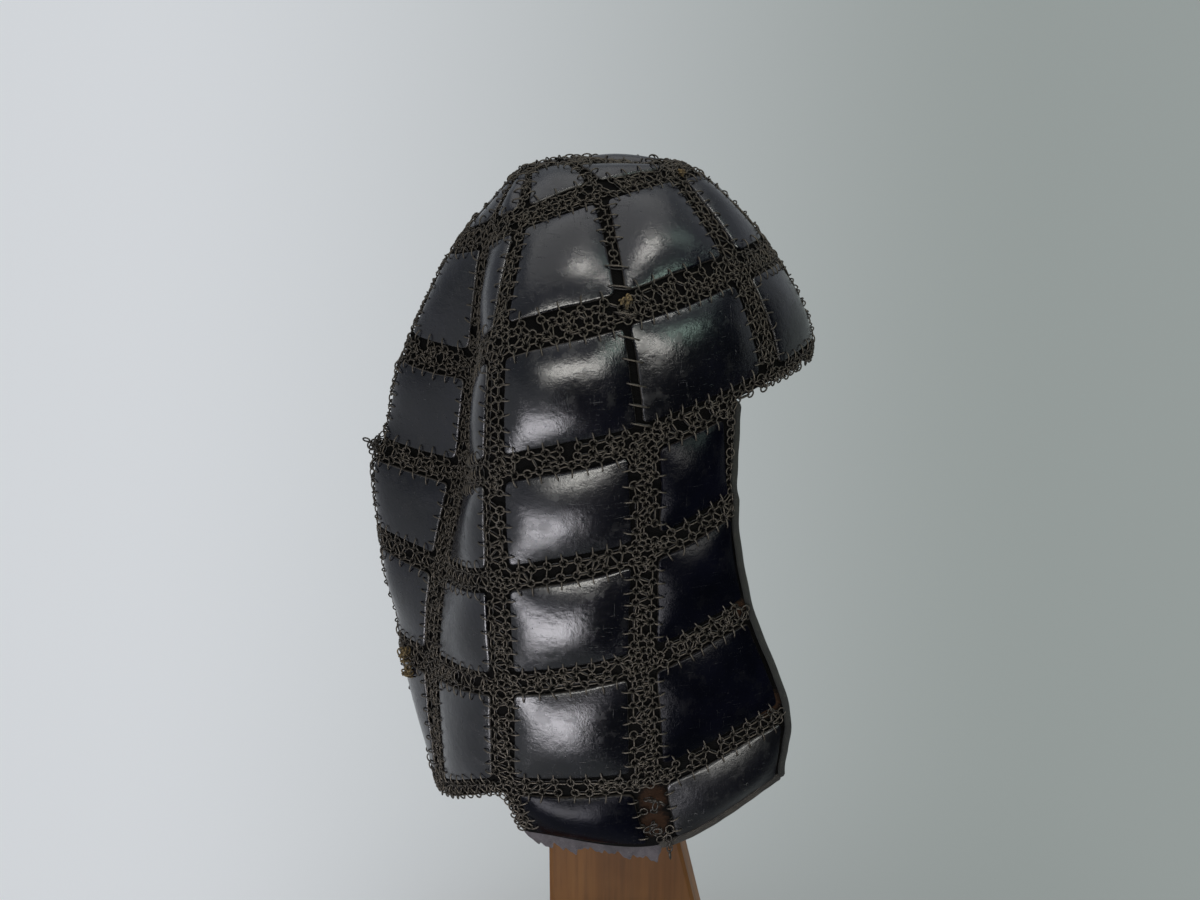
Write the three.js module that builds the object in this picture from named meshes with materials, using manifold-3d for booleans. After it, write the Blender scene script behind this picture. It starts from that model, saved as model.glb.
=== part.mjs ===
// A folding hood of domed iron plates set in a net of mail, over a cloth lining, on a wooden stand.
// Millimetres, Z up. The face opening looks towards -Y and the wearer's right is -X.
// The origin is on the floor, under the middle of the bounding box.
import * as THREE from 'three';
import Module from 'manifold-3d';

// Driving dimensions of the hood
const hoodLength = 216; // brow tip to back ridge
const hoodWidth = 176; // over both ears
const hoodHeight = 320; // lowest hem to crown
const hemAboveFloor = 171.5; // height at which the stand holds the lowest hem

// Driving dimensions of its layers
const liningWall = 1.8;
const weltRise = 1.5; // how far the bound edge of the face opening stands out
const mailThickness = 1.8;
const plateThickness = 1.3;
const plateDome = 3.6; // rise of the middle of a broad plate over its rim
const narrowDome = 2.4; // the same for the narrow plates of the nape
const flatDome = 1.2; // the same for the plates of the brow, the crown and the back ridge
const seatClearance = 0.3; // lining to mail, lining to stand
const plateSeat = 0.3; // underside of a plate's rim over the underside of the mail
const rimClearance = 0.6; // plate rim to the mail round it

// Driving dimensions of the stand
const baseLength = 232;
const baseWidth = 184;
const baseThickness = 18;
const baseCorner = 14;
const postDepth = 44; // across the hood
const postBack = 23; // from the middle to the post's straight back face
const postLength = 48; // front to back, above the sloping foot
const footRise = 228; // height at which the slope of the foot begins
const footSlope = 0.23; // forward for each millimetre down
const edgeBevel = 2;
const blockLength = 92;
const blockWidth = 82;
const blockHeight = 46;
const blockForward = 3; // from the middle of the crown
const blockRings = 5; // facets of the block, upwards and round
const blockSides = 16;

// Strips of mail that run round the hood, one row each, from the crown ridge down to the hem.
// The columns follow a strip from the brow's middle, or the edge of the face opening, to the back.
// Each place is [along, half, height]: shares of hoodLength from its middle towards the back,
// of half the hoodWidth, and of hoodHeight over the lowest hem.
const strips = [
  {
    front: [-0.144, 0.0, 0.99], brow: [-0.134, 0.045, 0.99], temple: [0.046, 0.08, 0.998],
    ear: [0.134, 0.068, 0.988], crease: [0.157, 0.045, 0.984], back: [0.166, 0.0, 0.983],
  },
  {
    front: [-0.222, 0.0, 0.984], brow: [-0.175, 0.159, 0.986], temple: [-0.014, 0.398, 0.969],
    ear: [0.148, 0.489, 0.933], crease: [0.218, 0.307, 0.905], back: [0.297, 0.0, 0.877],
  },
  {
    front: [-0.39, 0.0, 0.87], brow: [-0.301, 0.523, 0.87], temple: [-0.065, 0.909, 0.836],
    ear: [0.19, 0.955, 0.792], crease: [0.25, 0.375, 0.717], back: [0.418, 0.0, 0.72],
  },
  {
    front: [-0.492, 0.0, 0.717], brow: [-0.375, 0.568, 0.708], temple: [-0.102, 0.989, 0.661],
    ear: [0.204, 0.977, 0.614], crease: [0.287, 0.364, 0.548], back: [0.5, 0.0, 0.561],
  },
  {
    front: [-0.38, 0.591, 0.558], brow: [-0.306, 0.795, 0.552], temple: [-0.111, 0.989, 0.498],
    ear: [0.204, 0.977, 0.452], crease: [0.338, 0.409, 0.405], back: [0.495, 0.0, 0.417],
  },
  {
    front: [-0.426, 0.568, 0.389], brow: [-0.343, 0.773, 0.383], temple: [-0.106, 0.977, 0.32],
    ear: [0.199, 0.955, 0.283], crease: [0.366, 0.443, 0.248], back: [0.463, 0.0, 0.233],
  },
  {
    front: [-0.528, 0.477, 0.214], brow: [-0.435, 0.705, 0.208], temple: [-0.12, 0.955, 0.127],
    ear: [0.199, 0.909, 0.108], crease: [0.352, 0.477, 0.04], back: [0.385, 0.0, 0.048],
  },
  {
    front: [-0.528, 0.455, 0.095], brow: [-0.431, 0.682, 0.083], temple: [-0.157, 0.92, 0.002],
    ear: [0.153, 0.875, 0.017], crease: [0.335, 0.455, -0.045], back: [0.355, 0.0, -0.045],
  },
];
const crownMiddle = [0.02, 0.0, 1.0];

// Dents of the strips' sheet: the column and row of a dent's middle, how far it reaches both ways,
// and its depth as a share of hoodLength
const dents = [
  { column: 5, row: 2.72, columnReach: 0.8, rowReach: 0.3, depth: 0.021 },
  { column: 4.7, row: 0.35, columnReach: 1, rowReach: 0.4, depth: 0.018 },
  { column: 5, row: 4.75, columnReach: 0.7, rowReach: 0.25, depth: 0.014 },
];
const places = ['front', 'brow', 'temple', 'ear', 'crease', 'back'];

// Columns of plates. Margins are shares of the column's width, between the middle of the mail strip
// and the plate's rim: front and back are its two sides, narrow is the slit at the temple.
// Facets are counted across a plate.
const columns = [
  { name: 'a', front: 0.13, back: 0.13, dome: flatDome, facets: 2 },
  { name: 'b', front: 0.1, back: 0.12, narrow: 0.04, dome: plateDome, facets: 4 },
  { name: 'c', front: 0.1, narrow: 0.035, back: 0.13, dome: plateDome, facets: 4 },
  { name: 'd', front: 0.08, back: 0.18, dome: narrowDome, facets: 2 },
  { name: 'e', front: 0.14, back: 0.14, dome: flatDome, facets: 2 },
];
// Rows of plates, from the crown down, with the same kind of margins over and under each plate.
const rows = [
  { above: 0.08, below: 0.2 },
  { above: 0.1, below: 0.14 },
  { above: 0.12, below: 0.12 },
  { above: 0.12, below: 0.1 },
  { above: 0.13, below: 0.1 },
  { above: 0.12, below: 0.08 },
  { above: 0.15, below: 0.07 },
];
const browRow = 3; // the brow hem runs along this strip
const napeRow = 6; // the nape and back plates end at this strip
const narrowRow = 3; // above this strip the temple slit is narrow
const browCorner = 0.3; // share of column b that the brow hem takes
const cornerMargin = 0.12; // share of column b between the face opening and its plates, at the brow hem
const openingMargin = 0.08; // the same from one strip lower
const cornerMiddle = 0.62; // middle line of column b's plates, over the brow hem and below it
const middle = 0.5;
const narrowFade = 0.1; // share of a row over which the temple slit widens
const leftTuck = 0.046; // share of hoodLength by which the left cheek is tucked back behind the right
const tuckFrom = 4.6; // rows between which it is tucked back, most in the middle
const tuckTo = 7.2;
const tuckColumns = 1.4; // columns behind the face opening over which the tuck fades

// Vectors and curves
function placeOf([along, half, height]) {
  return new THREE.Vector3(-half * hoodWidth / 2, along * hoodLength, hemAboveFloor + height * hoodHeight);
}

function mirrored(point) {
  return new THREE.Vector3(-point.x, point.y, point.z);
}

function beyond(edge, inner) {
  return edge.clone().multiplyScalar(2).sub(inner);
}

// A smooth curve through all points but the first and the last, which only steer its ends.
function curveAt(points, t) {
  const span = Math.min(Math.max(Math.floor(t), 0), points.length - 4);
  const [a, b, c, d] = points.slice(span, span + 4);
  const f = t - span;
  const along = (axis) => 0.5 * (2 * b[axis] + (c[axis] - a[axis]) * f
    + (2 * a[axis] - 5 * b[axis] + 4 * c[axis] - d[axis]) * f ** 2
    + (3 * b[axis] - a[axis] - 3 * c[axis] + d[axis]) * f ** 3);
  return new THREE.Vector3(along('x'), along('y'), along('z'));
}

const stripCurves = strips.map((strip, row) => {
  const knots = places.map((place) => placeOf(strip[place]));
  const before = row <= browRow ? mirrored(knots[1]) : beyond(knots[0], knots[1]);
  return [before, ...knots, mirrored(knots[4])];
});

// The sheet on which mail and plates lie: u counts columns from the brow, v counts strips down.
function sheetAt(u, v) {
  const across = stripCurves.map((curve) => curveAt(curve, u));
  const before = beyond(across[0], across[1]).setZ(across[0].z);
  return curveAt([before, ...across, beyond(across[7], across[6])], v);
}

function normalAt(u, v) {
  const step = 0.002;
  const alongU = sheetAt(u + step, v).sub(sheetAt(u - step, v));
  const alongV = sheetAt(u, v + step).sub(sheetAt(u, v - step));
  return alongU.cross(alongV).normalize();
}

function dentAt(u, v) {
  const shares = dents.map((dent) => dent.depth
    * Math.exp(-(((u - dent.column) / dent.columnReach) ** 2) - ((v - dent.row) / dent.rowReach) ** 2));
  return hoodLength * shares.reduce((sum, share) => sum + share);
}

// Over the crown ridge v runs on to -1, where all columns meet in one point.
function offsetPoint(u, v, offset) {
  if (v >= 0) return sheetAt(u, v).addScaledVector(normalAt(u, v), offset - dentAt(u, v));
  const middle = placeOf(crownMiddle);
  const up = new THREE.Vector3(0, 0, 1);
  const normal = up.lerp(normalAt(u, 0), 1 + v).normalize();
  return middle.lerp(sheetAt(u, 0), 1 + v).addScaledVector(normal, offset);
}

// A point on one side of the hood: the left side mirrors the right one, with its cheek tucked back.
function sidePoint(side, u, v, offset) {
  const point = offsetPoint(u, v, offset);
  if (side < 0) return point;
  const down = THREE.MathUtils.clamp((v - tuckFrom) / (tuckTo - tuckFrom), 0, 1);
  const across = THREE.MathUtils.smoothstep(1 + tuckColumns - u, 0, tuckColumns);
  point.y += leftTuck * hoodLength * Math.sin(Math.PI * down) ** 2 * across;
  return mirrored(point);
}

// Lines of the grid across the hood. Below the brow hem, column b narrows to the face opening.
const gridAcross = [];
const columnStart = [];
for (const [index, column] of columns.entries()) {
  columnStart.push(gridAcross.length);
  const add = (upper, lower = upper, early = false) => {
    gridAcross.push({ upper: index + upper, lower: index + lower, early });
  };
  add(0);
  if (column.name === 'b') {
    add(column.front);
    add(browCorner, 0);
    add(browCorner + cornerMargin, openingMargin);
    add(cornerMiddle, middle);
    add(1 - column.narrow, 1 - column.back, true);
  } else {
    add(column.narrow ?? column.front, column.front, true);
    if (column.name !== 'a') add(middle);
    add(1 - column.back);
  }
}
gridAcross.push({ upper: columns.length, lower: columns.length, early: false });
const openingLine = columnStart[1] + 2;
const earLine = columnStart[3];
const lastLine = gridAcross.length - 1;

function acrossAt(line, v) {
  const { upper, lower, early } = gridAcross[line];
  const blend = early
    ? THREE.MathUtils.smoothstep(v, narrowRow - narrowFade, narrowRow + narrowFade)
    : THREE.MathUtils.clamp(v - browRow, 0, 1) ** 2;
  return upper + (lower - upper) * blend;
}

// Lines of the grid down the hood, from the crown ridge to the hem.
const gridDown = [];
const rowStart = [];
for (const [index, row] of rows.entries()) {
  rowStart.push(gridDown.length);
  gridDown.push(index, index + row.above);
  if (index > 0 && index < napeRow) gridDown.push(index + middle);
  gridDown.push(index + 1 - row.below);
}
gridDown.push(rows.length);
const browLine = rowStart[browRow];
const napeLine = rowStart[napeRow];
const hemLine = gridDown.length - 1;

// The cell between two lines each way belongs to the hood.
function inHood(line, level) {
  if (level >= browLine && line < openingLine) return false;
  return line < earLine || level <= napeLine;
}

// The plates, with the grid lines round the window of the net that each lies in
const plates = [];
for (const [index, column] of columns.entries()) {
  for (const row of rows.keys()) {
    const first = column.name === 'a' ? 1 : 0;
    const last = column.name === 'a' ? browRow - 1 : index < 3 ? napeRow : napeRow - 1;
    if (row < first || row > last) continue;
    const atOpening = column.name === 'b' && row >= browRow;
    plates.push({
      name: `${column.name}${row}`,
      dome: row === 0 ? flatDome : column.dome,
      facets: column.facets,
      fromLine: atOpening ? openingLine + 1 : columnStart[index] + 1,
      toLine: (columnStart[index + 1] ?? lastLine) - 1,
      fromLevel: rowStart[row] + 1,
      toLevel: (rowStart[row + 1] ?? hemLine) - 1,
    });
  }
}

function inWindow(line, level) {
  return plates.some((plate) => line >= plate.fromLine && line < plate.toLine
    && level >= plate.fromLevel && level < plate.toLevel);
}

// A closed wall: faces are rings of corner keys, and outer and inner give a key's two points.
function closedWall(faces, outer, inner) {
  const keys = [...new Set(faces.flat())];
  const number = new Map(keys.map((key, index) => [key, index]));
  const positions = [...keys.map(outer), ...keys.map(inner)].flatMap((p) => [p.x, p.y, p.z]);
  const triangles = [];
  const edges = new Map();
  for (const face of faces) {
    const ring = face.map((key) => number.get(key));
    for (let i = 1; i < ring.length - 1; i += 1) {
      triangles.push(ring[0], ring[i], ring[i + 1]);
      triangles.push(ring[0] + keys.length, ring[i + 1] + keys.length, ring[i] + keys.length);
    }
    ring.forEach((from, i) => {
      const to = ring[(i + 1) % ring.length];
      edges.set(`${from} ${to}`, [from, to]);
    });
  }
  for (const [from, to] of edges.values()) {
    if (edges.has(`${to} ${from}`)) continue;
    triangles.push(to, from, from + keys.length);
    triangles.push(to, from + keys.length, to + keys.length);
  }
  const geometry = new THREE.BufferGeometry();
  geometry.setAttribute('position', new THREE.Float32BufferAttribute(positions, 3));
  geometry.setIndex(triangles);
  return geometry;
}

// A key is "side line level". Both sides share the middle lines, and the crown has one middle point.
const crownPoint = -1;

function keyOf(side, line, level) {
  if (level === crownPoint) return `0 0 ${crownPoint}`;
  const onMiddle = line === lastLine || (line === 0 && level <= browLine);
  return `${onMiddle ? 0 : side} ${line} ${level}`;
}

function pointOf(key, offset) {
  const [side, line, level] = key.split(' ').map(Number);
  const v = level === crownPoint ? crownPoint : gridDown[level];
  const point = sidePoint(side > 0 ? side : -1, acrossAt(line, v), v, offset);
  if (side === 0) point.x = 0;
  return point;
}

// Faces of the hood on both sides, over every cell that the test keeps.
function hoodFaces(keeps) {
  const faces = [];
  for (const side of [-1, 1]) {
    const turn = (face) => (side > 0 ? face : face.reverse());
    for (let line = 0; line < lastLine; line += 1) {
      faces.push(turn([keyOf(side, 0, crownPoint), keyOf(side, line, 0), keyOf(side, line + 1, 0)]));
      for (let level = 0; level < hemLine; level += 1) {
        if (!inHood(line, level) || !keeps(line, level)) continue;
        faces.push(turn([
          keyOf(side, line, level), keyOf(side, line, level + 1),
          keyOf(side, line + 1, level + 1), keyOf(side, line + 1, level),
        ]));
      }
    }
  }
  return faces;
}

// Cloth lining, with a raised welt along the face opening
function liningGeometry() {
  const outer = (key) => {
    const [, line, level] = key.split(' ').map(Number);
    const onWelt = line === openingLine && level > browLine;
    return pointOf(key, (onWelt ? weltRise : 0) - seatClearance);
  };
  const inner = (key) => pointOf(key, -seatClearance - liningWall);
  return closedWall(hoodFaces(() => true), outer, inner);
}

// Net of mail, with a window for each plate and open towards the welt
function netGeometry() {
  const clearOfWelt = (line, level) => level < browLine || line > openingLine;
  const faces = hoodFaces((line, level) => !inWindow(line, level) && clearOfWelt(line, level));
  return closedWall(faces, (key) => pointOf(key, mailThickness), (key) => pointOf(key, 0));
}

// A point of the grid, or between its lines, where it lies on the facet of the four points round it
function gridPoint(side, lineAt, levelAt, offset) {
  const line = Math.min(Math.floor(lineAt), lastLine - 1);
  const level = Math.min(Math.floor(levelAt), hemLine - 1);
  const corner = (i, j) => sidePoint(side, acrossAt(i, gridDown[j]), gridDown[j], offset);
  const over = corner(line, level).lerp(corner(line + 1, level), lineAt - line);
  const under = corner(line, level + 1).lerp(corner(line + 1, level + 1), lineAt - line);
  return over.lerp(under, levelAt - level);
}

// Stations over a plate, evenly between the grid lines of its rims and drawn in at both
function stationsOver(from, to, facets, size) {
  const drawnIn = rimClearance / size * (to - from);
  const stations = [];
  for (let i = 0; i <= facets; i += 1) {
    stations.push(THREE.MathUtils.clamp(from + (to - from) * i / facets, from + drawnIn, to - drawnIn));
  }
  return stations;
}

// Domed plate over its window of the net
function plateGeometry(plate, side) {
  const { fromLine, toLine, fromLevel, toLevel } = plate;
  const middleLine = (fromLine + toLine) / 2;
  const middleLevel = (fromLevel + toLevel) / 2;
  const rim = (line, level) => gridPoint(side, line, level, 0);
  const width = rim(fromLine, middleLevel).distanceTo(rim(toLine, middleLevel));
  const height = rim(middleLine, fromLevel).distanceTo(rim(middleLine, toLevel));
  const across = stationsOver(fromLine, toLine, plate.facets, width);
  const down = stationsOver(fromLevel, toLevel, 2 * (toLevel - fromLevel), height);
  const faces = [];
  for (let i = 0; i < across.length - 1; i += 1) {
    for (let j = 0; j < down.length - 1; j += 1) {
      const face = [`${i} ${j}`, `${i} ${j + 1}`, `${i + 1} ${j + 1}`, `${i + 1} ${j}`];
      faces.push(side > 0 ? face : face.reverse());
    }
  }
  const bulge = (at, from, to) => 1 - (2 * (at - from) / (to - from) - 1) ** 2;
  const place = (key, offset) => {
    const [i, j] = key.split(' ').map(Number);
    const rise = plate.dome * bulge(across[i], fromLine, toLine) * bulge(down[j], fromLevel, toLevel);
    return gridPoint(side, across[i], down[j], offset + rise);
  };
  return closedWall(faces, (key) => place(key, plateSeat + plateThickness), (key) => place(key, plateSeat));
}

// Solids that are joined into one: corners closer than the weld distance become one corner
const weldDistance = 1e-4;
const wasm = await Module();
wasm.setup();

function toSolid(geometry) {
  const bare = new THREE.BufferGeometry();
  bare.setAttribute('position', geometry.getAttribute('position'));
  const position = bare.getAttribute('position');
  const source = geometry.index ? Array.from(geometry.index.array) : [...Array(position.count).keys()];
  const seen = new Map();
  const vertices = [];
  const triangles = source.map((index) => {
    const point = [position.getX(index), position.getY(index), position.getZ(index)];
    const key = point.map((value) => Math.round(value / weldDistance)).join(' ');
    if (!seen.has(key)) {
      seen.set(key, seen.size);
      vertices.push(...point);
    }
    return seen.get(key);
  });
  const whole = [];
  for (let i = 0; i < triangles.length; i += 3) {
    const [a, b, c] = triangles.slice(i, i + 3);
    if (a !== b && b !== c && c !== a) whole.push(a, b, c);
  }
  return new wasm.Manifold(new wasm.Mesh({
    numProp: 3, vertProperties: new Float32Array(vertices), triVerts: new Uint32Array(whole),
  }));
}

function toGeometry(solid) {
  const mesh = solid.getMesh();
  const geometry = new THREE.BufferGeometry();
  geometry.setAttribute('position', new THREE.Float32BufferAttribute(Array.from(mesh.vertProperties), 3));
  geometry.setIndex(Array.from(mesh.triVerts));
  return geometry;
}

// Stand: base board, post with its sloping foot, and the block that carries the crown
function baseGeometry() {
  const x = baseWidth / 2;
  const y = baseLength / 2;
  const shape = new THREE.Shape();
  shape.moveTo(x - baseCorner, -y);
  shape.absarc(x - baseCorner, -y + baseCorner, baseCorner, -Math.PI / 2, 0);
  shape.absarc(x - baseCorner, y - baseCorner, baseCorner, 0, Math.PI / 2);
  shape.absarc(-x + baseCorner, y - baseCorner, baseCorner, Math.PI / 2, Math.PI);
  shape.absarc(-x + baseCorner, -y + baseCorner, baseCorner, Math.PI, Math.PI * 1.5);
  return new THREE.ExtrudeGeometry(shape, { depth: baseThickness, bevelEnabled: false, curveSegments: 4 });
}

const blockTop = placeOf(crownMiddle).z - seatClearance * 2 - liningWall;
const blockMiddle = placeOf(crownMiddle).y - blockForward;

function postGeometry() {
  const top = blockTop - blockHeight / 2;
  const front = postBack - postLength;
  const shape = new THREE.Shape();
  shape.moveTo(postBack - edgeBevel, baseThickness / 2);
  shape.lineTo(postBack - edgeBevel, top);
  shape.lineTo(front + edgeBevel, top);
  shape.lineTo(front + edgeBevel, footRise);
  shape.lineTo(front + edgeBevel - (footRise - baseThickness / 2) * footSlope, baseThickness / 2);
  const geometry = new THREE.ExtrudeGeometry(shape, {
    depth: postDepth - 2 * edgeBevel, bevelSize: edgeBevel, bevelThickness: edgeBevel, bevelSegments: 1,
  });
  geometry.translate(0, 0, -postDepth / 2 + edgeBevel);
  geometry.rotateX(Math.PI / 2);
  geometry.rotateZ(Math.PI / 2);
  return geometry;
}

function blockGeometry() {
  const profile = [new THREE.Vector2(0, 0)];
  for (let i = 0; i < blockRings; i += 1) {
    const angle = (i / blockRings) * Math.PI / 2;
    profile.push(new THREE.Vector2(Math.cos(angle) / 2, Math.sin(angle)));
  }
  profile.push(new THREE.Vector2(0, 1));
  const geometry = new THREE.LatheGeometry(profile, blockSides);
  geometry.rotateX(Math.PI / 2);
  geometry.scale(blockWidth, blockLength, blockHeight);
  geometry.translate(0, blockMiddle, blockTop - blockHeight);
  return geometry;
}

function standGeometry() {
  const solids = [baseGeometry(), postGeometry(), blockGeometry()].map(toSolid);
  return toGeometry(solids[0].add(solids[1]).add(solids[2]));
}

// Finishes
const lacquer = { color: 0x15161f, roughness: 0.22, metalness: 0.3 };
const iron = { color: 0x3a342b, roughness: 0.55, metalness: 0.7 };
const cloth = { color: 0x2a2823, roughness: 0.95, metalness: 0 };
const wood = { color: 0x8a5a2c, roughness: 0.5, metalness: 0 };

const group = new THREE.Group();

function addPiece(name, geometry, finish) {
  geometry.computeVertexNormals();
  const mesh = new THREE.Mesh(geometry, new THREE.MeshStandardMaterial(finish));
  mesh.name = name;
  group.add(mesh);
}

addPiece('stand', standGeometry(), wood);
addPiece('cloth_lining', liningGeometry(), cloth);
addPiece('mail_net', netGeometry(), iron);
for (const plate of plates) {
  addPiece(`plate_right_${plate.name}`, plateGeometry(plate, -1), lacquer);
  addPiece(`plate_left_${plate.name}`, plateGeometry(plate, 1), lacquer);
}

export default group;
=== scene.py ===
"""Mail-and-plate folding hood on its wooden stand.

The hood follows one curved sheet: u counts columns of plates from the middle of the brow to the back
ridge, and v counts strips of mail from the crown ridge down to the hem. Shapes are worked out in
millimetres on that sheet and put into the meshes in metres.
"""
import math

import bmesh
import bpy
import numpy as np
from mathutils import Matrix, Vector


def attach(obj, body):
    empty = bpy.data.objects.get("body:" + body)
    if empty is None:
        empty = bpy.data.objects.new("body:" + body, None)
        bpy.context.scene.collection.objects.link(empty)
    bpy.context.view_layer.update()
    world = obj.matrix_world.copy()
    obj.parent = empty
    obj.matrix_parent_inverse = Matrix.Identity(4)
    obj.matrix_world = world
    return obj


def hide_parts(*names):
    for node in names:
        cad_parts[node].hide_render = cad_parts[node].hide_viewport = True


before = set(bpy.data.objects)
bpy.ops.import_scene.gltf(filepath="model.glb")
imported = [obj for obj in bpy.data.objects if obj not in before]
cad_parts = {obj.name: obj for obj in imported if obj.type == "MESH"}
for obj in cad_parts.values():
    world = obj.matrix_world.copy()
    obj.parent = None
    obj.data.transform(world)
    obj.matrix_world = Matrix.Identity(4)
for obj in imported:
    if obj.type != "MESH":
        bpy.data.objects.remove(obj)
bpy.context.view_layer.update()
scene = bpy.context.scene
chance = np.random.default_rng(11)
METRES = 0.001

# Camera, square to the wearer's right side and looking down by 19 degrees
AIM = Vector((0.0, -0.004, 0.348))
TOWARDS_CAMERA = Vector((-0.9455, 0.0, 0.3256))
CAMERA_DISTANCE = 0.8

camera = bpy.data.objects.new("camera", bpy.data.cameras.new("camera"))
camera.location = AIM + TOWARDS_CAMERA * CAMERA_DISTANCE
camera.rotation_euler = (-TOWARDS_CAMERA).to_track_quat("-Z", "Y").to_euler()
camera.data.lens = 48
camera.data.sensor_width = 36
camera.data.clip_end = 200
scene.collection.objects.link(camera)
scene.camera = camera

# The sheet, from the same table as the CAD model: a row for each strip of mail, and in it a place
# [along, half, height] for the front, brow, temple, ear, crease and back
HOOD_LENGTH = 216
HOOD_WIDTH = 176
HOOD_HEIGHT = 320
HEM_ABOVE_FLOOR = 171.5
STRIPS = np.array([
    [[-0.144, 0, 0.99], [-0.134, 0.045, 0.99], [0.046, 0.08, 0.998],
     [0.134, 0.068, 0.988], [0.157, 0.045, 0.984], [0.166, 0, 0.983]],
    [[-0.222, 0, 0.984], [-0.175, 0.159, 0.986], [-0.014, 0.398, 0.969],
     [0.148, 0.489, 0.933], [0.218, 0.307, 0.905], [0.297, 0, 0.877]],
    [[-0.39, 0, 0.87], [-0.301, 0.523, 0.87], [-0.065, 0.909, 0.836],
     [0.19, 0.955, 0.792], [0.25, 0.375, 0.717], [0.418, 0, 0.72]],
    [[-0.492, 0, 0.717], [-0.375, 0.568, 0.708], [-0.102, 0.989, 0.661],
     [0.204, 0.977, 0.614], [0.287, 0.364, 0.548], [0.5, 0, 0.561]],
    [[-0.38, 0.591, 0.558], [-0.306, 0.795, 0.552], [-0.111, 0.989, 0.498],
     [0.204, 0.977, 0.452], [0.338, 0.409, 0.405], [0.495, 0, 0.417]],
    [[-0.426, 0.568, 0.389], [-0.343, 0.773, 0.383], [-0.106, 0.977, 0.32],
     [0.199, 0.955, 0.283], [0.366, 0.443, 0.248], [0.463, 0, 0.233]],
    [[-0.528, 0.477, 0.214], [-0.435, 0.705, 0.208], [-0.12, 0.955, 0.127],
     [0.199, 0.909, 0.108], [0.352, 0.477, 0.04], [0.385, 0, 0.048]],
    [[-0.528, 0.455, 0.095], [-0.431, 0.682, 0.083], [-0.157, 0.92, 0.002],
     [0.153, 0.875, 0.017], [0.335, 0.455, -0.045], [0.355, 0, -0.045]],
])
CROWN_MIDDLE = np.array([0.0, 0.02 * HOOD_LENGTH, HEM_ABOVE_FLOOR + HOOD_HEIGHT])
BROW_ROW = 3
NAPE_HEM = 6.15
HEM = 7.0
BROW_CORNER = 0.3
OPENING_MARGIN = 0.08
LEFT_TUCK = 0.046 * HOOD_LENGTH
TUCK_FROM = 4.6
TUCK_TO = 7.2
TUCK_COLUMNS = 1.4
# Dents: u, v, reach along u, reach along v, depth
DENTS = np.array([
    [5, 2.72, 0.8, 0.3, 0.021 * HOOD_LENGTH],
    [4.7, 0.35, 1, 0.4, 0.018 * HOOD_LENGTH],
    [5, 4.75, 0.7, 0.25, 0.014 * HOOD_LENGTH],
])
MIRROR = np.array([-1.0, 1.0, 1.0])


def strip_knots():
    """The strips' places in millimetres, with one more before and after each row: the brow mirrored, or
    below the brow hem as far again past the opening, and the crease mirrored over the back ridge."""
    knots = np.stack([
        -STRIPS[..., 1] * HOOD_WIDTH / 2,
        STRIPS[..., 0] * HOOD_LENGTH,
        HEM_ABOVE_FLOOR + STRIPS[..., 2] * HOOD_HEIGHT,
    ], axis=-1)
    before = knots[:, 1] * MIRROR
    before[BROW_ROW + 1:] = 2 * knots[BROW_ROW + 1:, 0] - knots[BROW_ROW + 1:, 1]
    return np.concatenate([before[:, None], knots, knots[:, 4:5] * MIRROR], axis=1)


KNOTS = strip_knots()


def through(a, b, c, d, f):
    """Catmull-Rom curve from b to c at the fraction f, steered by a and d."""
    return 0.5 * (2 * b + (c - a) * f + (2 * a - 5 * b + 4 * c - d) * f ** 2
                  + (3 * b - a - 3 * c + d) * f ** 3)


def sheet(u, v):
    """Points of the sheet: a curve along each strip at u, then a curve through those points at v."""
    u, v = np.broadcast_arrays(np.asarray(u, float), np.asarray(v, float))
    span = np.clip(np.floor(u).astype(int), 0, 4)
    f = (u - span)[..., None]
    rows = [through(k[span], k[span + 1], k[span + 2], k[span + 3], f) for k in KNOTS]
    before = 2 * rows[0] - rows[1]
    before[..., 2] = rows[0][..., 2]
    rows = np.stack([before, *rows, 2 * rows[-1] - rows[-2]])
    row = np.clip(np.floor(v).astype(int), 0, 6)
    g = (v - row)[..., None]
    near = [np.take_along_axis(rows, (row + k)[None, ..., None], axis=0)[0] for k in range(4)]
    return through(*near, g)


def unit(vectors):
    """The same directions at length one."""
    return vectors / np.maximum(np.linalg.norm(vectors, axis=-1, keepdims=True), 1e-9)


def round_steps(count):
    """Angles of even steps round a circle."""
    return np.linspace(0, 2 * math.pi, count, endpoint=False)


def upper_share(count):
    """How high each step round a circle is over the middle, and 0 below it."""
    return np.clip(np.sin(round_steps(count)), 0, 1)


def outward(u, v):
    """Normals of the sheet: its slope along u crossed with its slope down v."""
    step = 0.002
    along = sheet(u + step, v) - sheet(u - step, v)
    down = sheet(u, v + step) - sheet(u, v - step)
    return unit(np.cross(along, down))


def dent(u, v):
    """Depth of the dents: the sum of depth * exp(-(du / reach)^2 - (dv / reach)^2)."""
    away = [(u[..., None] - DENTS[:, 0]) / DENTS[:, 2], (v[..., None] - DENTS[:, 1]) / DENTS[:, 3]]
    return (DENTS[:, 4] * np.exp(-away[0] ** 2 - away[1] ** 2)).sum(-1)


def off_sheet(u, v, rise):
    """The sheet raised along its normals, less the dents. Above the crown ridge, at v from -1 to 0, it
    is the ridge drawn together towards the middle of the crown."""
    u, v, rise = np.broadcast_arrays(np.asarray(u, float), np.asarray(v, float), np.asarray(rise, float))
    under = np.maximum(v, 0)
    ridge = np.clip(1 + v, 0, 1)[..., None]
    normal = outward(u, under)
    normal = unit(normal * ridge + np.array([0, 0, 1.0]) * (1 - ridge))
    point = CROWN_MIDDLE * (1 - ridge) + sheet(u, under) * ridge
    return point + normal * (rise[..., None] - dent(u, under)[..., None] * ridge)


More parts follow.
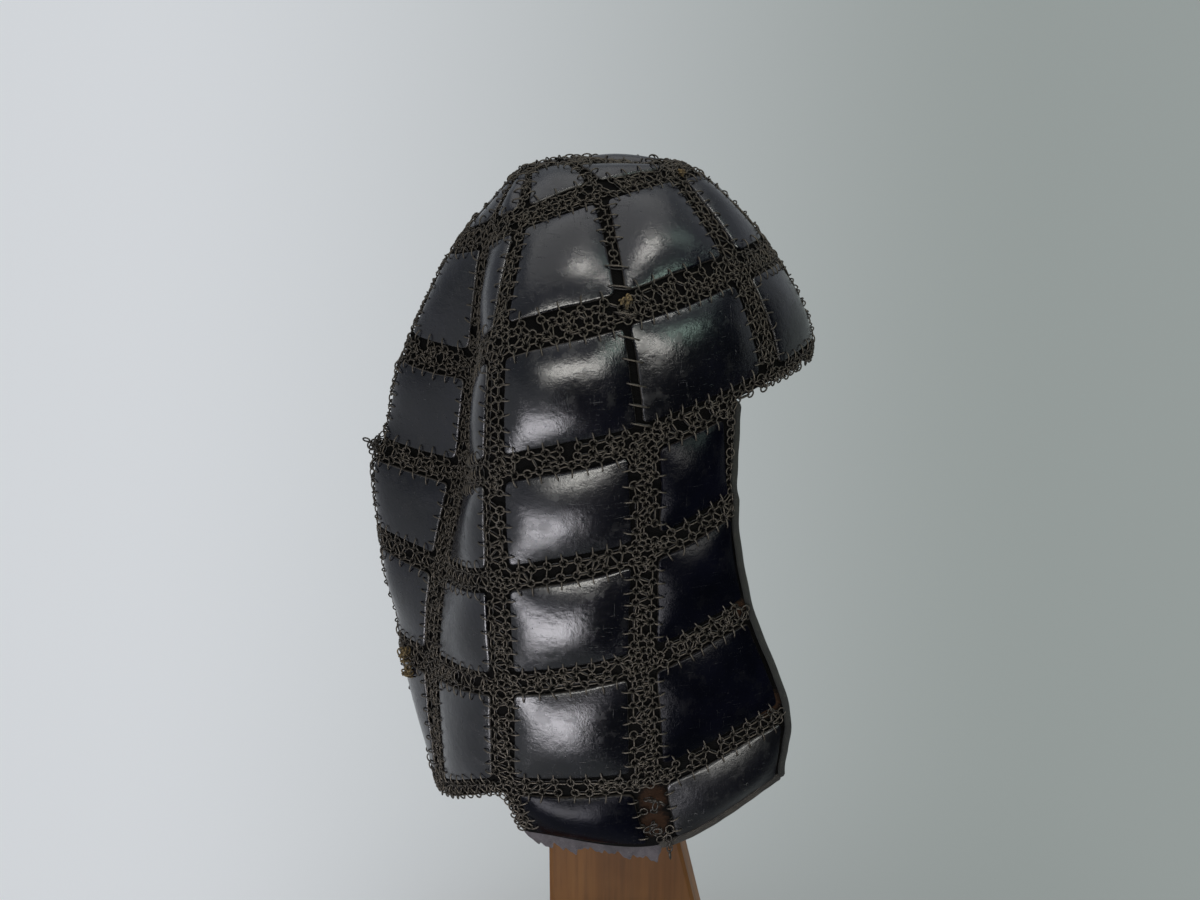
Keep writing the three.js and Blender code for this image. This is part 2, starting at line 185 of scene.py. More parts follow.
def on_side(side, points, u, v):
    """Points of the right side, or mirrored for the left one, whose cheek is tucked back by sin^2 down the
    rows and a smooth step over the columns behind the face opening."""
    if side < 0:
        return points
    down = np.clip((v - TUCK_FROM) / (TUCK_TO - TUCK_FROM), 0, 1)
    across = np.clip((1 + TUCK_COLUMNS - u) / TUCK_COLUMNS, 0, 1)
    tuck = LEFT_TUCK * np.sin(math.pi * down) ** 2 * across * across * (3 - 2 * across)
    mirrored = points * MIRROR
    mirrored[..., 1] += tuck
    return mirrored


# Columns and rows of plates, with their margins to the middle of the mail strips
COLUMNS = {"a": (0.13, 0.13), "b": (0.1, 0.12), "c": (0.1, 0.13), "d": (0.08, 0.18), "e": (0.14, 0.14)}
DOMES = {"a": 1.5, "b": 4.0, "c": 4.2, "d": 2.4, "e": 1.5}
CROWN_DOME = 1.3
# The slit at the temple, in shares of the columns b and c at the rows in the first list
SLIT_ROWS = [0, 1.1, 1.6, 2.1, 2.9, 3.1, 7]
SLIT_BACK_OF_B = [0.09, 0.085, 0.05, 0.03, 0.028, 0.12, 0.12]
SLIT_FRONT_OF_C = [0.08, 0.075, 0.045, 0.025, 0.022, 0.1, 0.1]
ROWS = [(0.08, 0.2), (0.1, 0.14), (0.12, 0.12), (0.12, 0.1), (0.13, 0.1), (0.12, 0.08), (0.15, 0.07)]
ROWS_OF = {"a": (1, 2), "b": (0, 6), "c": (0, 6), "d": (0, 5), "e": (0, 5)}
PLATE_NAMES = [f"{column}{row}" for column, (first, last) in ROWS_OF.items()
               for row in range(first, last + 1)]
FRONT_MARGIN_AT_BROW = 0.12


def opening_at(v):
    """Where the face opening's edge crosses u, under the brow hem."""
    return 1 + BROW_CORNER * (1 - np.clip(v - BROW_ROW, 0, 1) ** 2)


def sides_at(column, v):
    """Where the front and the back rim of a column's plates cross u, at the height v."""
    v = np.asarray(v, float)
    index = list(COLUMNS).index(column)
    front, back = [margin + 0 * v for margin in COLUMNS[column]]
    if column == "c":
        front = np.interp(v, SLIT_ROWS, SLIT_FRONT_OF_C)
    if column == "b":
        back = np.interp(v, SLIT_ROWS, SLIT_BACK_OF_B)
        narrower = (FRONT_MARGIN_AT_BROW - OPENING_MARGIN) * np.clip(v - BROW_ROW, 0, 1) ** 2
        under = opening_at(v) - 1 + FRONT_MARGIN_AT_BROW - narrower
        front = np.where(v >= BROW_ROW, under, front)
    return index + front, index + 1 - back


def rim_point(name, p, q):
    """u and v at the shares p across and q down a plate, both from 0 to 1."""
    column, row = name[0], int(name[1])
    above, below = ROWS[row]
    v = row + above + (1 - above - below) * np.asarray(q, float)
    front, back = sides_at(column, v)
    return front + (back - front) * p, v


def plate_size(name):
    """Width and height of a plate through its middle."""
    share = np.linspace(0, 1, 21)
    across = sheet(*rim_point(name, share, np.full(21, 0.5)))
    down = sheet(*rim_point(name, np.full(21, 0.5), share))
    return [np.linalg.norm(np.diff(line, axis=0), axis=1).sum() for line in (across, down)]


# Places where the net is torn, and places of rusty cloth with their radii
TORN = [(-84.5, -29.9, 199.1), (-83.6, -30.7, 184.9)]
RUST_SPOTS = [(TORN[0], 9), (TORN[1], 9), ((-71.7, -70.1, 293.3), 6), ((-67.3, -85.9, 241.2), 9),
              ((-72, -74, 262), 6)]


# Materials
class Value:
    """A socket's value. Sums and products with it become Math nodes."""

    def __init__(self, tree, socket):
        self.tree = tree
        self.socket = socket

    def maths(self, operation, *terms, clamp=False):
        node = self.tree.nodes.new("ShaderNodeMath")
        node.operation = operation
        node.use_clamp = clamp
        for slot, term in zip(node.inputs, terms):
            if isinstance(term, Value):
                self.tree.links.new(term.socket, slot)
            else:
                slot.default_value = term
        return Value(self.tree, node.outputs[0])

    def __add__(self, other):
        return self.maths("ADD", self, other)

    def __sub__(self, other):
        return self.maths("SUBTRACT", self, other)

    def __rsub__(self, other):
        return self.maths("SUBTRACT", other, self)

    def __mul__(self, other):
        return self.maths("MULTIPLY", self, other)

    def __truediv__(self, other):
        return self.maths("DIVIDE", self, other)

    __radd__ = __add__
    __rmul__ = __mul__

    def most(self, other):
        """The greater of the two."""
        return self.maths("MAXIMUM", self, other)

    def wave(self):
        return self.maths("SINE", self)

    def step(self, low, high):
        """0 under low, 1 over high and smooth between them; low may be the greater of the two."""
        share = self.maths("DIVIDE", self - low, high - low, clamp=True)
        return share * share * (3 - 2 * share)


class Finish:
    """A material and the nodes that make it."""

    def __init__(self, name, **fixed):
        self.material = bpy.data.materials.new(name)
        self.material.use_nodes = True
        self.tree = self.material.node_tree
        self.tree.nodes.clear()
        self.shader = self.tree.nodes.new("ShaderNodeBsdfPrincipled")
        output = self.tree.nodes.new("ShaderNodeOutputMaterial")
        self.tree.links.new(self.shader.outputs[0], output.inputs["Surface"])
        self.feed(**fixed)
        self.place = self.node("ShaderNodeTexCoord", {}, {}, "Object")

    def node(self, kind, settings, inputs, output=0):
        """Add a node: its settings first, then the values or links of its sockets."""
        node = self.tree.nodes.new(kind)
        for name, setting in settings.items():
            setattr(node, name, setting)
        for slot, term in inputs.items():
            if isinstance(term, Value):
                self.tree.links.new(term.socket, node.inputs[slot])
            else:
                node.inputs[slot].default_value = term
        return Value(self.tree, node.outputs[output])

    def feed(self, **sockets):
        """Give the shader's sockets their values or links, by their names in small letters."""
        for name, term in sockets.items():
            slot = self.shader.inputs[name.replace("_", " ").title().replace("Ior", "IOR")]
            if isinstance(term, Value):
                self.tree.links.new(term.socket, slot)
            else:
                slot.default_value = term

    def noise(self, scale, detail=3.0, rough=0.55, place=None, warp=0.0):
        """Cloudy noise from 0 to 1, with so many clouds to the metre."""
        inputs = {"Vector": place or self.place, "Scale": scale, "Detail": detail, "Roughness": rough,
                  "Distortion": warp}
        return self.node("ShaderNodeTexNoise", {}, inputs)

    def stretched(self, x, y, z, turn=(0.0, 0.0, 0.0)):
        """The object's coordinates, turned and scaled along each axis."""
        inputs = {"Vector": self.place, "Rotation": turn, "Scale": (x, y, z)}
        return self.node("ShaderNodeMapping", {}, inputs)

    def attribute(self, name):
        """A number that the mesh carries at its points."""
        return self.node("ShaderNodeAttribute", {"attribute_name": name}, {}, "Fac")

    def mix(self, share, first, second):
        """Colours mixed: first where the share is 0 and second where it is 1."""
        return self.node("ShaderNodeMix", {"data_type": "RGBA"}, {0: share, 6: first, 7: second}, 2)

    def from_point(self, point):
        """Distance in millimetres from a point of the object."""
        away = self.node("ShaderNodeVectorMath", {"operation": "SUBTRACT"},
                         {0: self.place, 1: tuple(METRES * c for c in point)})
        return self.node("ShaderNodeVectorMath", {"operation": "LENGTH"}, {0: away}, "Value") / METRES

    def bump(self, height, strength, distance):
        """Normals that lean as if the height stood out by the distance in metres."""
        return self.node("ShaderNodeBump", {},
                         {"Strength": strength, "Distance": distance, "Height": height})


def rgb(red, green, blue):
    """A colour given in shades of the screen from 0 to 255, as the shader takes it."""
    shares = np.array([red, green, blue]) / 255
    linear = np.where(shares <= 0.04045, shares / 12.92, ((shares + 0.055) / 1.055) ** 2.4)
    return (*linear.tolist(), 1.0)


def lacquer(name, gloss):
    """Black lacquer on iron: blotches, scratches and rubbed spots, worn to grey-brown along the rims."""
    finish = Finish(name, specular_ior_level=gloss)
    rim = finish.attribute("rim")
    tone = finish.attribute("tone")
    dull = finish.attribute("dull")
    blotch = finish.noise(38, 4, 0.6)
    cloud = finish.noise(110, 4, 0.65)
    grit = finish.noise(420, 3, 0.6)
    fine = finish.noise(1500, 2, 0.6)
    level = finish.noise(90, 6, 0.8, finish.stretched(1, 1, 16, (0.35, 0.0, 0.2)), 0.3)
    cross = finish.noise(80, 6, 0.8, finish.stretched(1, 14, 1, (0.8, 0.1, 0.0)), 0.5)
    slant = finish.noise(95, 6, 0.8, finish.stretched(1, 1, 13, (-0.9, 0.0, 0.1)), 0.4)
    lines = level.step(0.63, 0.68).most(cross.step(0.64, 0.69)).most(slant.step(0.65, 0.7))
    rubbed = cloud.step(0.52, 0.68)
    body = finish.mix(blotch.step(0.35, 0.7), rgb(6, 8, 18), rgb(13, 14, 27))
    body = finish.mix(rubbed * 0.3 + tone * 0.1, body, rgb(27, 26, 30))
    worn = (rim * 1.3 + (grit - 0.5) * 1.6 + (blotch - 0.5) * 2.4 + tone * 0.4).step(0.85, 0.15)
    chips = fine.step(0.62, 0.7) * rim.step(5.0, 0.8) * 0.4
    body = finish.mix(lines * 0.22, body, rgb(80, 78, 80))
    body = finish.mix((worn * 0.8).most(chips), body, rgb(74, 67, 59))
    rough = 0.12 + blotch * 0.08 + rubbed * 0.12 + grit * 0.08 + tone * 0.05 + lines * 0.22 + worn * 0.3
    rough = rough + dull * 0.4
    height = grit * 0.5 + fine * 0.5 + cloud * 1.3 + blotch * 3.0 - lines * 1.5 - worn * 0.5
    finish.feed(base_color=body, roughness=rough, normal=finish.bump(height, 0.5, 0.00035))
    return finish.material


def ring_iron():
    """Old iron wire: near black, with brown rust, and a painted highlight: a paler brown and more metal on
    the side of each wire and link that faces away from the cloth, by the attribute high.
    """
    finish = Finish("ring_iron", specular_ior_level=0.3)
    patch = finish.noise(60, 4, 0.6)
    grain = finish.noise(900, 3, 0.6)
    high = finish.attribute("high")
    body = finish.mix(patch.step(0.4, 0.65), rgb(7, 6, 6), rgb(22, 18, 14))
    body = finish.mix(grain.step(0.5, 0.7) * 0.5, body, rgb(46, 38, 29))
    # Painted highlight: the paler brown and the extra metal follow high, the side of each wire or link that
    # faces away from the cloth
    body = finish.mix(high * (0.12 + grain * 0.6), body, rgb(104, 95, 82))
    finish.feed(base_color=body, metallic=0.15 + high * 0.25, roughness=0.4 + grain * 0.25,
                normal=finish.bump(grain, 0.4, 0.0002))
    return finish.material


WEAVE_PITCH = 1.1
RIB_PITCH = 0.9


def lining_cloth():
    """Dark hemp cloth: a plain weave, thin dust, and rust-brown where it lies bare."""
    finish = Finish("lining_cloth", specular_ior_level=0.05)
    along = finish.attribute("along") * (2 * math.pi / WEAVE_PITCH)
    down = finish.attribute("down") * (2 * math.pi / WEAVE_PITCH)
    weave = along.wave() * down.wave()
    patch = finish.noise(40, 4, 0.6)
    grain = finish.noise(700, 3, 0.6)
    body = finish.mix(patch.step(0.35, 0.7), rgb(5, 5, 5), rgb(13, 12, 11))
    body = finish.mix((weave * 0.5 + 0.5) * grain * 0.4, body, rgb(26, 23, 20))
    rust = None
    for point, size in RUST_SPOTS:
        spot = (finish.from_point(point) + (grain - 0.5) * size * 0.8).step(size, size * 0.5)
        rust = spot if rust is None else rust.most(spot)
    body = finish.mix(rust * 0.85, body, rgb(84, 58, 42))
    finish.feed(base_color=body, roughness=0.92, normal=finish.bump(weave + grain, 0.5, 0.0004))
    return finish.material


def binding_cloth(name, dark, light, specks):
    """Bound edge of twill: fine slanting ribs, lighter where it is rubbed."""
    finish = Finish(name, specular_ior_level=0.25, sheen_weight=0.15, sheen_roughness=0.5)
    along = finish.attribute("along")
    down = finish.attribute("down")
    ribs = ((along + down * 0.8) * (2 * math.pi / RIB_PITCH)).wave() * 0.5 + 0.5
    patch = finish.noise(120, 4, 0.6)
    grain = finish.noise(1100, 3, 0.6)
    body = finish.mix(patch.step(0.35, 0.7) * 0.7 + ribs * 0.3, dark, light)
    body = finish.mix(grain.step(0.58, 0.72) * 0.5, body, specks)
    finish.feed(base_color=body, roughness=0.88, normal=finish.bump(ribs + grain * 0.7, 0.6, 0.0003))
    return finish.material


def wood():
    """Oiled wood of the stand: upright grain with pale patches, and a painted shadow that darkens the top
    of the post where it goes up under the hood's hem.
    """
    finish = Finish("stand_wood", specular_ior_level=0.15)
    streak = finish.noise(42, 5, 0.6, finish.stretched(1, 1, 0.05), 0.3)
    fine = finish.noise(420, 4, 0.6, finish.stretched(1, 1, 0.04))
    patch = finish.noise(20, 3, 0.5)
    height = finish.node("ShaderNodeSeparateXYZ", {}, {0: finish.place}, 2)
    body = finish.mix(streak.step(0.3, 0.7), rgb(112, 70, 32), rgb(156, 104, 52))
    body = finish.mix(fine.step(0.45, 0.7) * 0.35, body, rgb(84, 50, 22))
    body = finish.mix(patch.step(0.5, 0.75) * 0.4, body, rgb(164, 116, 66))
    # Painted shadow of the hood: the post darkens from 142 mm to 178 mm above the floor, up under the hem
    body = finish.mix(height.step(0.142, 0.178) * 0.45, body, rgb(56, 32, 14))
    finish.feed(base_color=body, roughness=0.42 + fine * 0.2, normal=finish.bump(fine, 0.3, 0.0003))
    return finish.material


def ochre_thread():
    """Twisted ochre thread, dirty in its hollows."""
    finish = Finish("ochre_thread", specular_ior_level=0.2)
    grain = finish.noise(900, 3, 0.6)
    body = finish.mix(grain.step(0.35, 0.65), rgb(60, 49, 32), rgb(146, 124, 84))
    finish.feed(base_color=body, roughness=0.9, normal=finish.bump(grain, 0.6, 0.0003))
    return finish.material


FAN_START = 0.95
FAN_LEAST = 0.4


def floor_finish():
    """Matt pale floor with painted light and shade: paler towards +Y as painted light and greyer towards -Y
    as painted shade, over a fan that widens with x.
    """
    finish = Finish("pale_floor", specular_ior_level=0.1)
    along_x = finish.node("ShaderNodeSeparateXYZ", {}, {0: finish.place}, 0)
    along_y = finish.node("ShaderNodeSeparateXYZ", {}, {0: finish.place}, 1)
    # Painted light and shade: the share from paler at +Y to greyer at -Y stands in for light on one side
    # and shade on the other
    share = (along_y / (along_x + FAN_START).most(FAN_LEAST)).step(0.3, -0.28)
    finish.feed(base_color=finish.mix(share, rgb(242, 243, 245), rgb(170, 176, 172)), roughness=0.95)
    return finish.material


# Pieces
def add_piece(name, points, faces, material, values=None):
    """Put points in millimetres and faces of one size into a new mesh that rides on the body."""
    mesh = bpy.data.meshes.new(name)
    mesh.vertices.add(len(points))
    mesh.vertices.foreach_set("co", (points * METRES).astype(np.float32).ravel())
    corners = faces.shape[1]
    mesh.loops.add(faces.size)
    mesh.loops.foreach_set("vertex_index", faces.astype(np.int32).ravel())
    mesh.polygons.add(len(faces))
    mesh.polygons.foreach_set("loop_start", np.arange(0, faces.size, corners, dtype=np.int32))
    mesh.polygons.foreach_set("use_smooth", np.ones(len(faces), bool))
    for key, numbers in (values or {}).items():
        attribute = mesh.attributes.new(key, "FLOAT", "POINT")
        attribute.data.foreach_set("value", np.asarray(numbers, np.float32).ravel())
    mesh.update(calc_edges=True)
    mesh.materials.append(material)
    piece = bpy.data.objects.new(name, mesh)
    scene.collection.objects.link(piece)
    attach(piece, "root")
    return piece


def grid_faces(lines, stations, closed_lines=False, closed_stations=False):
    """Faces between neighbours of a grid of points that is counted line by line."""
    a = np.arange(lines if closed_lines else lines - 1)
    b = np.arange(stations if closed_stations else stations - 1)
    i, j = [c.ravel() for c in np.meshgrid(a, b, indexing="ij")]
    i1, j1 = (i + 1) % lines, (j + 1) % stations
    return np.stack([i * stations + j, i1 * stations + j, i1 * stations + j1, i * stations + j1], axis=1)


# Plates
PLATE_THICKNESS = 1.3
BULGE_POWER = 2.3
DENTS_EACH = 5
SEAT = 0.3
RIM_ROUND = 0.7
CORNER_ROUND = 2.6
RIM_STEPS = np.array([0, 0.08, 0.22, 0.42, 0.7, 1.2, 2.0, 3.2])
MIDDLE_STEPS = 11


def stations_over(size):
    """Distances from the first rim to the last one: close together at the rims, even between them."""
    steps = RIM_STEPS * min(1, size / 12)
    middle = np.linspace(steps[-1], size - steps[-1], MIDDLE_STEPS)
    return np.concatenate([steps[:-1], middle, size - steps[-2::-1]])


def plate_shell(name, side):
    """A plate over its window of the net: the sheet raised by dome * (1 - |p|^n) * (1 - |q|^n), with p and
    q from -1 to 1 between the rims, and by a few dents. The upper face falls to the lower one in a
    quarter circle at the rim. In a corner the square is drawn onto a quarter disc."""
    width, height = plate_size(name)
    x, y = np.meshgrid(stations_over(width), stations_over(height), indexing="ij")
    corner = min(CORNER_ROUND, 0.2 * width)
    in_x, in_y = np.minimum(x, width - x), np.minimum(y, height - y)
    deep_x, deep_y = np.maximum(corner - in_x, 0), np.maximum(corner - in_y, 0)
    most = np.maximum(deep_x, deep_y)
    in_corner = (deep_x > 0) & (deep_y > 0)
    shrink = np.where(in_corner, most / np.maximum(np.hypot(deep_x, deep_y), 1e-9), 1)
    rim = np.where(in_corner, corner - most, np.minimum(in_x, in_y))
    new_x = np.where(in_corner, corner - deep_x * shrink, in_x)
    new_y = np.where(in_corner, corner - deep_y * shrink, in_y)
    x = np.where(x < width / 2, new_x, width - new_x)
    y = np.where(y < height / 2, new_y, height - new_y)
    phase = chance.uniform(0, 2 * math.pi, 8)
    uneven, ripple = 0.25, 0.12
    x = x + uneven * np.sin(y / 9 + phase[0]) + ripple * np.sin(y / 3.1 + phase[1])
    y = y + uneven * np.sin(x / 8 + phase[2]) + ripple * np.sin(x / 2.7 + phase[3])
    p, q = 2 * x / width - 1, 2 * y / height - 1
    bulge = np.maximum(1 - np.abs(p) ** BULGE_POWER, 0) * np.maximum(1 - np.abs(q) ** BULGE_POWER, 0)
    dents = np.zeros_like(x)
    for _ in range(DENTS_EACH):
        at_x, at_y = chance.uniform(0.12, 0.88) * width, chance.uniform(0.12, 0.88) * height
        reach = chance.uniform(5, 11)
        dents += chance.normal(0, 0.16) * np.exp(-((x - at_x) ** 2 + (y - at_y) ** 2) / (2 * reach ** 2))
    dome = CROWN_DOME if name[1] == "0" else DOMES[name[0]]
    rise = SEAT + dome * bulge + dents * np.minimum(rim / 4, 1)
    edge = np.sqrt(np.maximum(1 - (1 - np.minimum(rim / RIM_ROUND, 1)) ** 2, 0))
    u, v = rim_point(name, x / width, y / height)
    upper = on_side(side, off_sheet(u, v, rise + PLATE_THICKNESS * edge), u, v)
    lower = on_side(side, off_sheet(u, v, rise), u, v)
    lines, stations = x.shape
    faces = grid_faces(lines, stations)
    count = lines * stations
    at_rim = (rim < 1e-6).ravel()
    under = np.where(at_rim, np.arange(count), count + np.cumsum(~at_rim) - 1)
    points = np.concatenate([upper.reshape(-1, 3), lower.reshape(-1, 3)[~at_rim]])
    faces = np.concatenate([faces[:, ::-1], under[faces]])
    depth = np.concatenate([rim.ravel(), rim.ravel()[~at_rim] * 0])
    return points, faces if side < 0 else faces[:, ::-1], depth


def add_plates(side, side_name, names, piece_name, material):
    """Join the shells of some plates into one piece that replaces their nodes."""
    points, faces, rims, tones, dulls = [], [], [], [], []
    count = 0
    for name in names:
        shell, shell_faces, rim = plate_shell(name, side)
        points.append(shell)
        faces.append(shell_faces + count)
        rims.append(rim)
        tones.append(np.full(len(shell), chance.uniform(0, 1)))
        dulls.append(np.full(len(shell), RUBBED_DULL.get(name, 0.0)))
        count += len(shell)
    values = {"rim": np.concatenate(rims), "tone": np.concatenate(tones), "dull": np.concatenate(dulls)}
    plates = add_piece(piece_name, np.concatenate(points), np.concatenate(faces), material,
                       values)
    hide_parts(*[f"plate_{side_name}_{name}" for name in names])


# Lacquer of the cheek's plates and of the lowest one under the ear, which keeps hardly any gloss
DULL_PLATES = ("b3", "b4", "b5", "c6")
RUBBED_DULL = {"b6": 0.2}
GLOSSY = lacquer("black_lacquer", 0.42)
DULL = lacquer("dull_lacquer", 0.06)
for side, side_name in ((-1, "right"), (1, "left")):
    for column in COLUMNS:
        in_column = [name for name in PLATE_NAMES if name[0] == column and name not in DULL_PLATES]
        add_plates(side, side_name, in_column, f"plates_{side_name}_{column}", GLOSSY)
    add_plates(side, side_name, DULL_PLATES, f"plates_{side_name}_dull", DULL)

# Mail
RING_RADIUS = 1.9
RING_WIRE = 0.42
LINK_WIRE = 0.36
HOOK_WIRE = 0.38
RING_PITCH = 6.9
RING_FROM_RIM = 2.6
RING_RISE = 0.9
LOOP_RISE = 1.15
HOOK_MIDDLE = 1.7
HOOK_RISE = 1.45
HOLE_INSIDE_RIM = 3.3
FILL_SPACING = 4.3
LINK_REACH = 8.2
LINKS_EACH = 5
SLIT_FROM = 1.55
SLIT_LINKS = np.array([1.68, 1.83, 2.0, 2.2, 2.38, 2.54, 2.7, 2.85])
TORN_RADIUS = 8
RIM_SHARE_FROM = 0.035
RIM_SHARE_USED = 0.93
CLOSEST_RINGS = 3.7
CLOSEST_TO_MIDDLE = 2.2
RING_COUNTS = (12, 5)
LINK_COUNTS = (10, 4)
HOOK_COUNTS = (12, 5)
AT_ONCE = 300
ON_THE_MIDDLE = 0.6


def rings_round(name):
    """Rings along a plate's rims, a pitch apart and moved outwards by a fixed distance. Returns centres,
    normals, ways away from the plate, u and v."""
    row = int(name[1])
    size = dict(zip(("across", "down"), plate_size(name)))
    rims = {"top": ("across", 0), "bottom": ("across", 1), "front": ("down", 0), "back": ("down", 1)}
    at_opening = name[0] == "b" and row >= BROW_ROW
    rows = []
    for rim, (way, end) in rims.items():
        if (rim == "front" and at_opening) or (rim == "bottom" and row == 6):
            continue
        count = max(int(round((size[way] - 3) / RING_PITCH)), 1)
        share = RIM_SHARE_FROM + RIM_SHARE_USED * (np.arange(count) + 0.5) / count
        share = share + chance.normal(0, 0.25, count) / size[way]
        fixed = np.full(count, float(end))
        p, q = (share, fixed) if way == "across" else (fixed, share)
        step = 0.01
        u, v = rim_point(name, p, q)
        ahead = off_sheet(*rim_point(name, p + step * (way == "across"), q + step * (way == "down")), 0)
        point, normal = off_sheet(u, v, 0), outward(u, v)
        away = unit(np.cross(unit(ahead - point), normal))
        middle = sheet(*rim_point(name, 0.5, 0.5))
        away = away * np.where((away * (point - middle)).sum(-1, keepdims=True) < 0, -1, 1)
        in_slit = (rim, name[0]) in (("back", "b"), ("front", "c")) and row < BROW_ROW
        keep = (v < SLIT_FROM) if in_slit else np.ones(count, bool)
        rows.append([part[keep] for part in (point + away * RING_FROM_RIM, normal, away, u, v)])
    return [np.concatenate(column) for column in zip(*rows)]


def net_places():
    """u and v on a close grid over one side's net, without the plates, the slit at the temple, and what
    lies past the hem or the face opening."""
    u, v = np.meshgrid(np.linspace(0, 5, 420), np.linspace(-0.98, HEM - 0.1, 640), indexing="ij")
    margin = 0.035
    keep = (v < BROW_ROW + 0.02) | (u > opening_at(v) + 0.05)
    keep &= (u < 3) | (v < NAPE_HEM - 0.02)
    in_slit = (np.abs(u - 2) < 0.12) & (v > SLIT_FROM + 0.1) & (v < BROW_ROW - 0.12)
    keep &= ~(in_slit & (np.abs(v - 2) > 0.13))
    for name in PLATE_NAMES:
        row = int(name[1])
        above, below = ROWS[row]
        front, back = sides_at(name[0], v)
        over = (v > row + above - margin) & (v < row + 1 - below + margin)
        keep &= ~(over & (u > front - margin) & (u < back + margin))
    return u[keep], v[keep]


def fill_net(taken, u, v):
    """Rings in what the rows along the rims leave free, each at the first place that is a spacing away
    from all rings so far and from its own mirror image."""
    points = off_sheet(u, v, 0)
    normals = unit(off_sheet(u, v, 1.0) - points)
    half = np.abs(points[:, 0])
    free = (half < ON_THE_MIDDLE) | (half > FILL_SPACING / 2)
    for start in range(0, len(taken), AT_ONCE):
        some = taken[start:start + AT_ONCE]
        free &= ((points[:, None] - some[None]) ** 2).sum(-1).min(1) > FILL_SPACING ** 2
    points, normals, half, u, v = [part[free] for part in (points, normals, half, u, v)]
    order = np.lexsort((np.round(points[:, 1], 1), np.round(points[:, 2] / 1.5)))
    chosen = []
    for index in order:
        if chosen and ((points[chosen] - points[index]) ** 2).sum(1).min() < FILL_SPACING ** 2:
            continue
        chosen.append(index)
    points = points[chosen]
    points[half[chosen] < ON_THE_MIDDLE, 0] = 0
    return points, normals[chosen], u[chosen], v[chosen]


def wire_loops(centres, along, across, half_along, half_across, wire, path_count, wire_count):
    """Closed loops of wire. The path is centre + along * a * cos t + across * b * sin t, and the wire's
    circle stands round it: radius * (cos s * the path's outward normal + sin s * the loop's axis)."""
    t, s = round_steps(path_count), round_steps(wire_count)
    axis = np.cross(along, across)
    cosine, sine = np.cos(t)[None, :, None], np.sin(t)[None, :, None]
    a, b = half_along[:, None, None], half_across[:, None, None]
    along, across = along[:, None], across[:, None]
    path = centres[:, None] + along * a * cosine + across * b * sine
    out = unit(along * b * cosine + across * a * sine)
    wire = np.broadcast_to(np.asarray(wire, float), len(centres))[:, None, None, None]
    circle = (out[:, :, None] * np.cos(s)[None, None, :, None]
              + axis[:, None, None] * np.sin(s)[None, None, :, None])
    points = path[:, :, None] + wire * circle
    faces = grid_faces(path_count, wire_count, True, True)
    step = np.arange(len(centres)) * path_count * wire_count
    faces = (faces[None] + step[:, None, None]).reshape(-1, 4)
    return points.reshape(-1, 3), faces[:, ::-1]


def add_loops(name, centres, along, up, half, rise, wire, counts):
    """Loops that stand on edge, with the share of each point's height over the loop's middle, which paints
    a highlight on their upper part.
    """
    path_count, wire_count = counts
    rise = np.broadcast_to(np.asarray(rise, float), len(centres))
    points, faces = wire_loops(centres, along, up, half, rise, wire, path_count, wire_count)
    high = np.tile(np.repeat(upper_share(path_count), wire_count), len(centres))
    add_piece(name, points, faces, RING_IRON, {"high": high})


def square_to(directions, axes):
    """Directions with what lies along the axes taken out, at length one."""
    return unit(directions - axes * (directions * axes).sum(-1, keepdims=True))


def pairs_within(points, reach, most):
    """Pairs of rings nearer than the reach, the nearest first, with at most so many for one ring."""
    first, second, gaps = [], [], []
    for start in range(0, len(points), AT_ONCE):
        gap = np.linalg.norm(points[start:start + AT_ONCE][:, None] - points[None], axis=-1)
        i, j = np.nonzero(gap < reach)
        first.append(i + start)
        second.append(j)
        gaps.append(gap[i, j])
    first, second, gaps = [np.concatenate(part) for part in (first, second, gaps)]
    once = first < second
    first, second, gaps = first[once], second[once], gaps[once]
    used = np.zeros(len(points), int)
    chosen = []
    for index in np.argsort(gaps):
        a, b = first[index], second[index]
        if used[a] < most and used[b] < most:
            used[a] += 1
            used[b] += 1
            chosen.append(index)
    return first[chosen], second[chosen], gaps[chosen]


def thinned(centres, gap):
    """True for each ring that is at least the gap away from all rings kept before it."""
    keep = np.ones(len(centres), bool)
    for index in range(1, len(centres)):
        near = ((centres[:index] - centres[index]) ** 2).sum(1) < gap ** 2
        keep[index] = not (near & keep[:index]).any()
    return keep


RING_IRON = ring_iron()
ROUND_PLATES = [np.concatenate(part) for part in zip(*[rings_round(name) for name in PLATE_NAMES])]
KEPT = thinned(ROUND_PLATES[0], CLOSEST_RINGS) & (ROUND_PLATES[0][:, 0] < -CLOSEST_TO_MIDDLE)
FILL = fill_net(ROUND_PLATES[0][KEPT], *net_places())


def turned(side, directions):
    """Directions of the right side, mirrored for the left one."""
    return directions if side < 0 else directions * MIRROR


